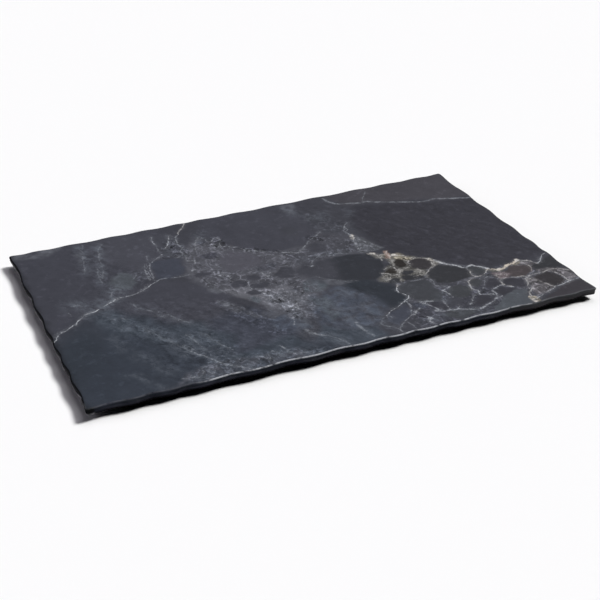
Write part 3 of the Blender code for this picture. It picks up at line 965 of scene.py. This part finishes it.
# Where the marble is shattered small: strength, softness of the edge, outline
SHATTERED = [
    (0.55, 14, [
        (-92, 100), (-92, 60), (-94, 20), (-84, -8), (-60, -38), (-42, -72), (-34, -100), (-14, -98),
        (4, -60), (14, -40), (4, -14), (0, 6), (20, 14), (74, 20), (86, 20), (90, 48), (64, 72), (40, 50),
        (0, 46), (-40, 80), (-58, 112),
    ]),
    (1.1, 7, [(-78, 36), (-64, 36), (-58, 12), (-52, -4), (-62, -8), (-72, 8)]),
    (1.2, 8, [(-52, -22), (-36, -24), (-22, -50), (-18, -70), (-22, -98), (-36, -94), (-42, -60)]),
    (1.1, 6, [(-14, -20), (-3, -18), (0, -62), (-12, -62)]),
    (1.2, 6, [(18, 2), (28, 12), (58, 16), (66, 26), (40, 30), (20, 22)]),
    (1.0, 7, [(0, 26), (8, 48), (22, 46), (20, 24)]),
    (0.4, 7, [(76, 92), (92, 96), (98, 70), (84, 60)]),
    (0.9, 7, [(-92, 26), (-84, 26), (-76, 0), (-90, 0)]),
    (1.2, 7, [(-102, 126), (-86, 122), (-82, 84), (-98, 84)]),
    (1.2, 6, [(-62, 120), (-40, 114), (-42, 84), (-58, 88)]),
    (0.9, 8, [(-66, 14), (-44, 16), (-30, 6), (-20, -20), (-40, -26), (-60, -10)]),
    (1.0, 7, [(42, 70), (62, 76), (62, 54), (46, 50)]),
    (0.9, 6, [(-48, 88), (-36, 84), (10, 52), (6, 46), (-20, 58), (-44, 80)]),
    (0.8, 8, [(68, 50), (90, 50), (84, 14), (70, 18)]),
    (0.3, 10, [(64, 130), (84, 128), (100, 90), (96, 56), (70, 76), (64, 96)]),
    (1.0, 5, [
        (93, 4), (126, -18), (147, -33), (156, -52), (126, -56), (124, -70), (86, -70), (74, -56),
        (90, -36), (103, -15),
    ]),
    (1.0, 5, [
        (205, -92), (228, -74), (240, -90), (264, -110), (264, -136), (230, -143), (204, -152),
        (208, -118),
    ]),
    (0.6, 5, [
        (95, 4), (126, -16), (147, -33), (166, -60), (190, -80), (228, -74), (240, -90), (264, -110),
        (264, -136), (230, -143), (204, -152), (198, -166), (70, -166), (66, -144), (84, -98), (80, -84),
        (86, -70), (72, -56), (90, -36), (103, -15),
    ]),
    (0.6, 9, [(-176, -166), (-160, -146), (-136, -132), (-60, -144), (-20, -158), (-20, -166)]),
    (0.35, 14, [(-156, -76), (-118, -76), (-104, -120), (-112, -150), (-136, -140), (-152, -110)]),
    (0.6, 12, [(-98, -26), (-84, -30), (-56, -76), (-50, -120), (-70, -110), (-92, -60)]),
    (0.5, 10, [(-186, 72), (-150, 76), (-134, 60), (-140, 44), (-165, 34), (-188, 42)]),
    (0.3, 14, [(-206, -10), (-186, -16), (-160, -66), (-150, -100), (-166, -90), (-196, -46)]),
    (0.65, 5, [
        (94, 56), (103, 42), (108, 28), (112, 12), (105, 9), (93, 8), (83, 12), (85, 26), (89, 42),
    ]),
    (0.6, 8, [(-116, 110), (-96, 120), (-80, 104), (-90, 84), (-112, 84)]),
]

# Where long smoky streaks run down to the right: strength, softness of the edge, outline
STREAKED = [
    (1.0, 40, [
        (-214, 6), (-120, -10), (-60, -50), (10, -50), (60, -60), (44, -140), (-60, -160), (-180, -150),
    ]),
    (0.6, 25, [(-206, 150), (-160, 150), (-150, 60), (-190, 30), (-210, 60)]),
    (0.4, 30, [(40, 160), (120, 150), (100, 60), (64, 76)]),
    (1.0, 6, [(94, 56), (103, 42), (108, 28), (112, 12), (93, 8), (83, 12), (89, 42)]),
    (0.55, 20, [(115, 120), (262, 84), (262, -66), (190, -74), (130, -20), (108, 60)]),
]


def linear(colour):
    """An 8-bit sRGB colour as linear light."""
    shares = np.array(colour) / 255
    return np.where(shares <= 0.04045, shares / 12.92, ((shares + 0.055) / 1.055) ** 2.4)


def to_segment(places, start, end):
    """From each place to the nearest point on one straight segment."""
    start, end = np.array(start, float), np.array(end, float)
    run = end - start
    share = np.clip((places - start) @ run / (run @ run), 0.0, 1.0)
    return start + share[:, None] * run - places


def coverage(places, outline, softness, swell=0.0):
    """1 inside an outline, swollen by a margin, and 0 outside, fading over a soft edge."""
    inside = np.zeros(len(places), bool)
    nearest = np.full(len(places), np.inf)
    for start, end in zip(outline, outline[1:] + outline[:1]):
        nearest = np.minimum(nearest, np.linalg.norm(to_segment(places, start, end), axis=1))
        if start[1] == end[1]:
            continue
        crossed = (start[1] > places[:, 1]) != (end[1] > places[:, 1])
        cut = start[0] + (places[:, 1] - start[1]) * (end[0] - start[0]) / (end[1] - start[1])
        inside ^= crossed & (places[:, 0] < cut)
    signed = np.where(inside, nearest, -nearest)
    share = np.clip((signed + swell) / softness + 0.5, 0.0, 1.0)
    return share * share * (3 - 2 * share)


def ragged(places, size, amount):
    """Places shaken by smooth noise, so that what is drawn over them gets an uneven edge."""
    shaken = places.copy()
    for index, (x, y) in enumerate(places):
        shift = noise.noise_vector(Vector((x / size, y / size, size)))
        shaken[index] += (amount * shift.x, amount * shift.y)
    return shaken


def patchiness(places, size):
    """A share from 0 to 1 that comes and goes over the face in lumps of about one size."""
    values = [noise.fractal(Vector((x / size, y / size, size)), 0.8, 2.1, 4) for x, y in places]
    return np.clip(0.6 + 0.8 * np.array(values), 0.0, 1.0)


def face_grid():
    """Rows of places over the face, drawn between its four wavy sides, back row last."""
    ring = rim_ring(RIM_WIDTH + FACE_CLEARANCE)
    columns = round(2 * half_length / FACE_CELL)
    rows = round(2 * half_width / FACE_CELL)
    sides = []
    for turn, steps in enumerate((columns, rows, columns, rows)):
        first, last = rim_corners[turn - 1], rim_corners[turn]
        side = ring[np.arange(first, last + 1 if last > first else last + 1 + len(ring)) % len(ring)]
        travel = np.concatenate(([0.0], np.cumsum(np.linalg.norm(np.diff(side, axis=0), axis=1))))
        stops = np.linspace(0.0, travel[-1], steps + 1)
        sides.append(np.column_stack([np.interp(stops, travel, side[:, axis]) for axis in (0, 1)]))
    front, right, back, left = sides[0], sides[1], sides[2][::-1], sides[3][::-1]
    u = np.linspace(0, 1, columns + 1)[None, :, None]
    v = np.linspace(0, 1, rows + 1)[:, None, None]
    across = (1 - v) * front[None] + v * back[None]
    along = (1 - u) * left[:, None] + u * right[:, None]
    corners = (1 - u) * ((1 - v) * front[0] + v * back[0]) + u * ((1 - v) * front[-1] + v * back[-1])
    return across + along - corners


def face_mesh(grid):
    """A thin closed slab with the grid on top and a flat face below."""
    rows, columns = grid.shape[:2]
    top = [(x, y, plate_top) for x, y in grid.reshape(-1, 2)]
    loop = [*range(columns), *((row + 1) * columns - 1 for row in range(1, rows))]
    loop += [(rows - 1) * columns + column for column in reversed(range(columns - 1))]
    loop += [row * columns for row in reversed(range(1, rows - 1))]
    below = [(top[index][0], top[index][1], plate_top - FACE_THICKNESS) for index in loop]
    faces = []
    for row in range(rows - 1):
        for column in range(columns - 1):
            corner = row * columns + column
            faces.append((corner, corner + 1, corner + columns + 1, corner + columns))
    first = len(top)
    for index, upper in enumerate(loop):
        after = (index + 1) % len(loop)
        faces.append((upper, first + index, first + after, loop[after]))
    faces.append(tuple(first + index for index in reversed(range(len(loop)))))
    mesh = bpy.data.meshes.new("stone_face")
    mesh.from_pydata(top + below, [], faces)
    return mesh


# How the printed sheet lies on the face, a little out of true: shift in mm, stretch and skew, spread per mm
PRINT_SHIFT = np.array((0.20, 0.60))
PRINT_STRETCH = np.array(((1.0035, 0.0066), (0.0023, 1.0185)))
PRINT_SPREAD = np.array((2.26e-5, 1.54e-5))

# Where the face gets darker along its left end, in mm, over how far, and how much darker it gets
DARKER_LEFT_RIM = -263
DARKER_LEFT_WIDTH = 6
DARKER_LEFT_BY = 0.45

# How far noise shakes the edges, in mm: size of its lumps, then shift. Soft edges drift further.
EDGE_SHAKES = ((12.0, 2.6), (4.5, 1.4))
EDGE_DRIFT = (36.0, 9.0)
DRIFTS_ABOVE = 5
LUMP_SIZE = 9.0

# A smooth piece swells over its outline, in mm, and little of it is shattered. A spot or flare wins over
# another vein that is up to twice as near. All veins start from far off.
PIECE_SWELL = 0.9
PIECE_CALM = 0.9
SPOT_YIELDS = 0.5
FAR_FROM_VEINS = 1000.0


def on_print(places):
    """Places on the face, in the printed sheet's own millimetres."""
    return (places @ PRINT_STRETCH + PRINT_SHIFT) / (1 - places @ PRINT_SPREAD)[:, None]


def paint_marble(mesh):
    """Writes the marble's fields, veins, wisps and shattered zones on the points of the face."""
    coords = np.empty(len(mesh.vertices) * 3)
    mesh.vertices.foreach_get("co", coords)
    places = on_print(coords.reshape(-1, 3)[:, :2] * 1000)
    uneven = places
    for size, amount in EDGE_SHAKES:
        uneven = ragged(uneven, size, amount)
    drifting = ragged(uneven, *EDGE_DRIFT)
    lumps = patchiness(places, LUMP_SIZE)
    ground = np.tile(linear(STONE["slate"]), (len(places), 1))
    calm = np.zeros(len(places))
    for colour, softness, outline in FIELDS:
        swell = PIECE_SWELL if colour in SMOOTH else 0.0
        shaken = drifting if softness > DRIFTS_ABOVE else uneven
        share = coverage(shaken, outline, softness, swell)
        if colour in HAZY:
            share *= lumps
        elif colour == "breccia":
            share *= 0.5 + 0.5 * lumps
        ground += share[:, None] * (linear(STONE[colour]) - ground)
        calm += share * ((colour in SMOOTH) - calm)
    # The face gets darker toward its left end
    ground *= 1 - DARKER_LEFT_BY * np.clip(1 - (uneven[:, :1] - DARKER_LEFT_RIM) / DARKER_LEFT_WIDTH, 0.0, 1.0)
    way = np.full((len(places), 3), FAR_FROM_VEINS)
    kind = np.zeros((len(places), 3))
    for name, lines in VEINS.items():
        yields = SPOT_YIELDS if name in ("spot", "flare") else 1.0
        for line in lines:
            for start, end in zip(line, line[1:]):
                offset = to_segment(places, start, end)
                reach = np.linalg.norm(offset, axis=1)
                closer = reach * yields < way[:, 2]
                way[closer] = np.column_stack((offset, reach))[closer]
                kind[closer] = VEIN_KINDS[name]
    smoke = np.zeros(len(places))
    for half, strength, line in WISPS:
        reach = np.full(len(places), np.inf)
        for start, end in zip(line, line[1:]):
            reach = np.minimum(reach, np.linalg.norm(to_segment(uneven, start, end), axis=1))
        smoke = np.maximum(smoke, strength * np.exp(-((reach / half) ** 2)))
    zones = np.zeros((len(places), 3))
    zones[:, 2] = smoke
    for column, patches in enumerate((SHATTERED, STREAKED)):
        for strength, softness, outline in patches:
            share = coverage(uneven, outline, softness)
            zones[:, column] = np.maximum(zones[:, column], strength * share)
    zones[:, 0] *= 1 - PIECE_CALM * calm
    for name, values in (("ground", ground), ("vein way", way), ("vein kind", kind), ("zones", zones)):
        mesh.attributes.new(name, "FLOAT_VECTOR", "POINT").data.foreach_set("vector", values.ravel())


VEIN_WHITE = (*linear((198, 204, 213)), 1)
VEIN_CREAM = (*linear((211, 190, 155)), 1)
SMOKE_BLUE = (*linear((102, 108, 117)), 1)

# Which way the fibres of the marble run, and how far the noise is drawn out along them
FIBRE_TURN = (0, 0, 1.08)
FIBRE_STRETCH = Vector((0.36, 1.0, 1.0))

# Noises of like size are read from other places, in mm, so that they don't repeat each other
PALE_LUMPS_AT = Vector((90.0, 40.0, 0.0))
SMALL_PIECES_AT = Vector((31.0, 17.0, 0.0))
CRUSHED_AT = Vector((17.0, 63.0, 0.0))


def crackle(place, size):
    """Broken pieces of about one size: the light seams between them, and a random tone for each."""
    cells = {"Vector": place, "Scale": 1 / size}
    to_edge = {"voronoi_dimensions": "2D", "feature": "DISTANCE_TO_EDGE"}
    edge = place.node("ShaderNodeTexVoronoi", to_edge, cells, "Distance")
    nearest = {"voronoi_dimensions": "2D", "feature": "F1"}
    chance = place.node("ShaderNodeTexVoronoi", nearest, cells, "Color")
    thickness = place.grain(place, 0.7 * size, 2.0).fade(0.3, 0.75) * 0.15 + 0.03
    seam = 1.0 - (edge / thickness).fade(0.25, 1.0)
    return seam, place.node("ShaderNodeSeparateColor", None, {0: chance}, 0)


def face_material():
    """The marble: uneven fields, smoke, small broken pieces, and veins that wander, swell and break off."""
    material, shader, wire = new_material("marble_print")
    place = wire.place_mm()
    shattered, streaked, smoke = parts(wire.attribute("zones", "Vector"))
    coarse = wire.grain(place, 11.0, 3.0, 0.6, "Color") - 0.5
    fine = wire.grain(place, 3.0, 3.0, 0.6, "Color") - 0.5
    cloud = wire.grain(place, 26.0, 5.0, 0.6)
    mottle = wire.grain(place, 3.2, 4.0, 0.7)
    patchy = wire.grain(place, 12.0, 4.0, 0.62)
    speck = wire.grain(place, 1.5, 2.0, 0.6)

    along = {"Vector": place + coarse * 16.0 + fine * 4.0, "Rotation": FIBRE_TURN}
    fibre = wire.grain(wire.node("ShaderNodeMapping", None, along) * FIBRE_STRETCH, 6.0, 5.0, 0.66)
    shade = 1.0 + (cloud - 0.5) * (0.42 - streaked * 0.2) + (patchy - 0.5) * 0.24 + (mottle - 0.5) * 0.30
    shade = shade + wire.grain(place + PALE_LUMPS_AT, 9.0, 4.0, 0.6).fade(0.56, 0.72) * 0.34
    shade = shade + (fibre - 0.5) * (streaked * 1.5 + 0.22)
    ground = wire.attribute("ground", "Vector") * shade
    haze = smoke * fibre.fade(0.34, 0.74) * 1.1
    haze = haze + streaked * fibre.fade(0.52, 0.80) * patchy.fade(0.35, 0.65) * 0.35
    ground = (haze * 0.8).mix(ground, SMOKE_BLUE)

    broken = place + coarse * 9.0 + fine * 3.5
    wide_seam, wide_tone = crackle(broken, 13.0)
    small_seam, small_tone = crackle(broken + SMALL_PIECES_AT, 7.5)
    small = patchy.fade(0.44, 0.58)
    seams = (wide_seam * cloud.fade(0.34, 0.55)).at_least(small_seam * small * 0.9)
    tone = (wide_tone - 0.5) * 0.55 + (small_tone - 0.5) * small * 0.45 + (speck - 0.5) * 1.0
    grit = wire.grain(place * Vector((1.0, 0.7, 1.0)) + coarse * 5.0, 3.4, 2.0, 0.5)
    crushed = wire.grain(place + CRUSHED_AT, 13.0, 3.0, 0.6).fade(0.45, 0.57)
    tone = tone + (grit.fade(0.52, 0.68) * 1.2 - grit.fade(0.46, 0.34) * 0.5) * crushed
    ground = ground * (1.0 + (seams * (0.2 + grit.fade(0.40, 0.56)) * 1.1 + tone - 0.18) * shattered)

    way = wire.attribute("vein way", "Vector")
    half, strength, cream = parts(wire.attribute("vein kind", "Vector"))
    wander = (way + coarse * 5.0 + fine * 2.4) * Vector((1.0, 1.0, 0.0))
    across = wire.node("ShaderNodeVectorMath", {"operation": "LENGTH"}, {0: wander}, 1)
    far = parts(way)[2]
    reach = across.at_least(far - 3.0)
    swell = half * (0.30 + wire.grain(place, 4.2, 2.0) * 1.35)
    core = 1.0 - (reach / swell).fade(0.35, 1.5)
    whole = wire.grain(place, 5.0, 3.0, 0.6).fade(0.36, 0.60)
    whole = whole + (1.0 - whole) * (0.12 + strength.fade(0.45, 0.60) * cream.fade(0.2, 0.0) * 0.25)
    thin = strength.fade(0.45, 0.25) * half.fade(1.5, 1.3)
    beads = (speck.fade(0.30, 0.62) * 0.55 + 0.45) * (1.0 - (1.0 - grit.fade(0.40, 0.56)) * thin * 0.6)
    contour = wire.grain(place, 6.0, 3.0, 0.6) - 0.5
    hair = 1.0 - wire.node("ShaderNodeMath", {"operation": "ABSOLUTE"}, {0: contour}) * 26.0
    near = 1.0 - (far / 7.0).fade(0.0, 1.0)
    hair = hair.at_least(0.0) * near * patchy.fade(0.44, 0.62) * 0.40
    glow = (1.0 - (reach / 4.5).fade(0.0, 1.0)) * patchy.fade(0.35, 0.65) * 0.11
    vein = (core * whole * beads * 1.3 + hair + glow) * strength
    colour = vein.mix(ground, cream.mix(VEIN_WHITE, VEIN_CREAM))
    link(colour, shader, "Base Color")
    link(0.44 + mottle * 0.16, shader, "Roughness")
    shader.inputs["Specular IOR Level"].default_value = 0.055
    relief = wire.grain(place, 1.4, 3.0, 0.55) * 0.5 + cloud * 0.5
    emboss(relief, shader, 0.25, 0.0002)
    return material


def build_face():
    mesh = face_mesh(face_grid())
    paint_marble(mesh)
    mesh.materials.append(face_material())
    smooth_shaded(mesh)
    return new_object("stone_face", mesh)


stone_face = build_face()
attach(stone_face, "root")
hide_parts("decor_sheet", "glaze_coat")


# The feet: six soft discs of black silicone, each moulded with a rounded edge and rings in its face so that
# it grips the table. They sit in the sockets under the plate, three along each long side.

FOOT_TURNS = 64
FOOT_FACE_RADIUS = 0.0075
FOOT_ROUNDING = 0.0015
FOOT_ROUND_STEPS = 6
FOOT_CHAMFER = 0.0003
FOOT_SHOULDER = 0.0002
FOOT_RINGS = (0.0062, 0.0048, 0.0034, 0.0020)
RING_GROOVE = 0.00035
RING_HALF = 0.00030


def foot_profile():
    """Radius and level along half a section: out over the top, down the wall and over the ringed face."""
    profile = [(0.0, foot_top), (foot_radius - FOOT_CHAMFER, foot_top)]
    profile.append((foot_radius, foot_top - FOOT_CHAMFER))
    profile.append((foot_radius, plate_bottom - FOOT_SHOULDER))
    for step in range(FOOT_ROUND_STEPS + 1):
        turn = step / FOOT_ROUND_STEPS * math.pi / 2
        level = FOOT_ROUNDING * (1 - math.sin(turn))
        profile.append((FOOT_FACE_RADIUS + FOOT_ROUNDING * math.cos(turn), level))
    for radius in FOOT_RINGS:
        profile += [(radius + RING_HALF, 0.0), (radius, RING_GROOVE), (radius - RING_HALF, 0.0)]
    return profile + [(0.0, 0.0)]


def turned_mesh(name, profile):
    """A closed round mesh from a half section that starts and ends on the axis."""
    coords, faces = [(0.0, 0.0, profile[0][1])], []
    for radius, level in profile[1:-1]:
        for index in range(FOOT_TURNS):
            angle = 2 * math.pi * index / FOOT_TURNS
            coords.append((radius * math.cos(angle), radius * math.sin(angle), level))
    coords.append((0.0, 0.0, profile[-1][1]))
    rings = len(profile) - 2
    last = len(coords) - 1
    for index in range(FOOT_TURNS):
        after = (index + 1) % FOOT_TURNS
        faces.append((0, 1 + index, 1 + after))
        for ring in range(rings - 1):
            upper, lower = 1 + ring * FOOT_TURNS, 1 + (ring + 1) * FOOT_TURNS
            faces.append((upper + index, lower + index, lower + after, upper + after))
        bottom = 1 + (rings - 1) * FOOT_TURNS
        faces.append((bottom + index, last, bottom + after))
    mesh = bpy.data.meshes.new(name)
    mesh.from_pydata(coords, [], faces)
    return mesh


def row_tree():
    """Sets one turned piece at every point of a grid under the plate."""
    tree, keys, given = new_tree("rows underneath", (
        ("Piece", "Geometry", None),
        ("Span Lengthwise", "Float", 0.44),
        ("Span Across", "Float", 0.235),
        ("Columns", "Int", 3),
        ("Rows", "Int", 2),
        ("Material", "Material", None),
    ))
    sizes = {0: given["Span Lengthwise"], 1: given["Span Across"], 2: given["Columns"], 3: given["Rows"]}
    grid = Wire(tree).node("GeometryNodeMeshGrid", None, sizes)
    placed = {"Points": grid, "Instance": given["Piece"]}
    end_tree(grid.node("GeometryNodeInstanceOnPoints", None, placed), given["Material"])
    return tree, keys


rows_tree, rows_keys = row_tree()


def build_rows(name, profile, material, nodes):
    """One mesh of all the like pieces under the plate, in the places of their nodes."""
    boxes = [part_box(node) for node in nodes]
    centres = [(low + high) / 2 for low, high in boxes]
    pieces = new_object(name, turned_mesh(name, profile))
    rows = pieces.modifiers.new("rows underneath", "NODES")
    rows.node_group = rows_tree
    rows[rows_keys["Span Lengthwise"]] = max(c.x for c in centres) - min(c.x for c in centres)
    rows[rows_keys["Span Across"]] = max(c.y for c in centres) - min(c.y for c in centres)
    rows[rows_keys["Material"]] = material
    as_plain_mesh(pieces)
    smooth_shaded(pieces.data)
    return pieces


# From clean to dusty, in linear light
SILICONE_BLACK = ((0.010, 0.010, 0.011, 1), (0.026, 0.026, 0.027, 1))


def silicone_material():
    """Matt black silicone with a dusty bloom."""
    material, shader, wire = new_material("black_silicone")
    place = wire.place_mm()
    dust = wire.grain(place, 2.5, 4.0, 0.65)
    link(dust.fade(0.35, 0.75).mix(*SILICONE_BLACK), shader, "Base Color")
    link(0.62 + dust * 0.2, shader, "Roughness")
    emboss(wire.grain(place, 0.35, 2.0), shader, 0.2, 0.0001)
    return material


silicone_feet = build_rows("silicone_feet", foot_profile(), silicone_material(), FOOT_NODES)
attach(silicone_feet, "root")
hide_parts(*FOOT_NODES)


# The adhesive: a thin disc of grey silicone adhesive, squeezed between each foot and the roof of its socket.
# It cures with a blunted edge that stops just short of the foot's own.

disc_low, disc_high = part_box("adhesive_disc_front_left")
disc_radius = (disc_high.x - disc_low.x) / 2
DISC_ROUNDING = 0.00012

# From dull to pale, in linear light
ADHESIVE_GREY = ((0.15, 0.15, 0.145, 1), (0.21, 0.21, 0.205, 1))


def disc_profile():
    edge = disc_radius - DISC_ROUNDING
    return [
        (0.0, disc_high.z), (edge, disc_high.z), (disc_radius, disc_high.z - DISC_ROUNDING),
        (disc_radius, disc_low.z + DISC_ROUNDING), (edge, disc_low.z), (0.0, disc_low.z),
    ]


def adhesive_material():
    """Cured grey adhesive, cloudy and slightly glossy."""
    material, shader, wire = new_material("grey_adhesive")
    cloud = wire.grain(wire.place_mm(), 3.0, 3.0, 0.6)
    link(cloud.fade(0.3, 0.7).mix(*ADHESIVE_GREY), shader, "Base Color")
    link(0.45 + cloud * 0.2, shader, "Roughness")
    return material


adhesive_discs = build_rows("adhesive_discs", disc_profile(), adhesive_material(), DISC_NODES)
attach(adhesive_discs, "root")
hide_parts(*DISC_NODES)


# The stage: a plain white floor, matt like paper, without an edge in view.
# It stands for the table and takes the platter's shadow.

FLOOR_REACH = 6.0
FLOOR_WHITE = 0.93


def build_floor():
    mesh = bpy.data.meshes.new("floor")
    turns = ((-1, -1), (1, -1), (1, 1), (-1, 1))
    corners = [(x * FLOOR_REACH, y * FLOOR_REACH, 0) for x, y in turns]
    mesh.from_pydata(corners, [], [(0, 1, 2, 3)])
    material, shader, _ = new_material("white_floor")
    shader.inputs["Base Color"].default_value = (FLOOR_WHITE, FLOOR_WHITE, FLOOR_WHITE, 1)
    shader.inputs["Roughness"].default_value = 0.9
    shader.inputs["Specular IOR Level"].default_value = 0.0
    mesh.materials.append(material)
    return new_object("floor", mesh)


floor = build_floor()


# The light: a soft key from the right, a broad softbox overhead and a little behind, and a weak violet fill
# from a wall at the left. The front side and the gap under the plate stay dark. The camera sees a white
# room, and reflections a dim one.

# Each lamp: direction to it, how bright it makes the floor, angle that it fills, tint
LAMPS = {
    "key": (Vector((0.94, 0.12, 1.0)), 0.730, math.radians(16), (1.0, 1.0, 0.99)),
    "softbox": (Vector((0.55, 0.55, 1.0)), 0.205, math.radians(46), (1.0, 0.985, 1.04)),
    "left wall": (Vector((-1.0, 0.6, 0.5)), 0.045, math.radians(36), (1.0, 0.96, 1.10)),
}
ROOM_WHITE = 1.0
ROOM_MIRRORED = 0.12


def build_lights():
    for name, (direction, level, angle, tint) in LAMPS.items():
        lamp = bpy.data.lights.new(name, "SUN")
        lamp.energy = level * math.pi / (FLOOR_WHITE * direction.normalized().z)
        lamp.angle = angle
        lamp.color = tint
        sun = bpy.data.objects.new(name, lamp)
        sun.rotation_euler = direction.to_track_quat("Z", "Y").to_euler()
        bpy.context.scene.collection.objects.link(sun)
    world = bpy.data.worlds.new("studio")
    world.use_nodes = True
    bpy.context.scene.world = world
    wire = Wire(world.node_tree)
    backdrop = world.node_tree.nodes["Background"]
    seen = wire.node("ShaderNodeLightPath", None, None, "Is Camera Ray")
    mirrored = wire.node("ShaderNodeLightPath", None, None, "Is Glossy Ray")
    level = seen * ROOM_WHITE + mirrored * ROOM_MIRRORED
    wire.tree.links.new(level.socket, backdrop.inputs["Strength"])
    backdrop.inputs["Color"].default_value = (1, 1, 1, 1)


build_lights()


# The camera: it looks down at the platter from its front left, with the long side across the picture.
# The lens is shifted sideways, as in a picture that was cropped off the middle.

LENS = 73.985
SENSOR = 36.0
AZIMUTH = math.radians(-21.501)
ELEVATION = math.radians(28.994)
ROLL = math.radians(-1.573)
DISTANCE = 1.28863
SLIDE_RIGHT = -0.02391
SLIDE_UP = -0.02906
SHIFT = 0.05


def build_camera():
    lens = bpy.data.cameras.new("camera")
    lens.lens = LENS
    lens.sensor_width = SENSOR
    lens.shift_x = SHIFT
    camera = bpy.data.objects.new("camera", lens)
    level = math.cos(ELEVATION)
    ahead = Vector((-math.sin(AZIMUTH) * level, math.cos(AZIMUTH) * level, -math.sin(ELEVATION)))
    right = Vector((math.cos(AZIMUTH), math.sin(AZIMUTH), 0.0))
    up = right.cross(ahead)
    place = Vector((0, 0, plate_top)) - ahead * DISTANCE + right * SLIDE_RIGHT + up * SLIDE_UP
    tilted_right = math.cos(ROLL) * right + math.sin(ROLL) * up
    tilted_up = math.cos(ROLL) * up - math.sin(ROLL) * right
    turned = Matrix((tilted_right, tilted_up, -ahead)).transposed().to_4x4()
    camera.matrix_world = Matrix.Translation(place) @ turned
    bpy.context.scene.collection.objects.link(camera)
    bpy.context.scene.camera = camera


build_camera()
bpy.context.scene.view_settings.view_transform = "Standard"
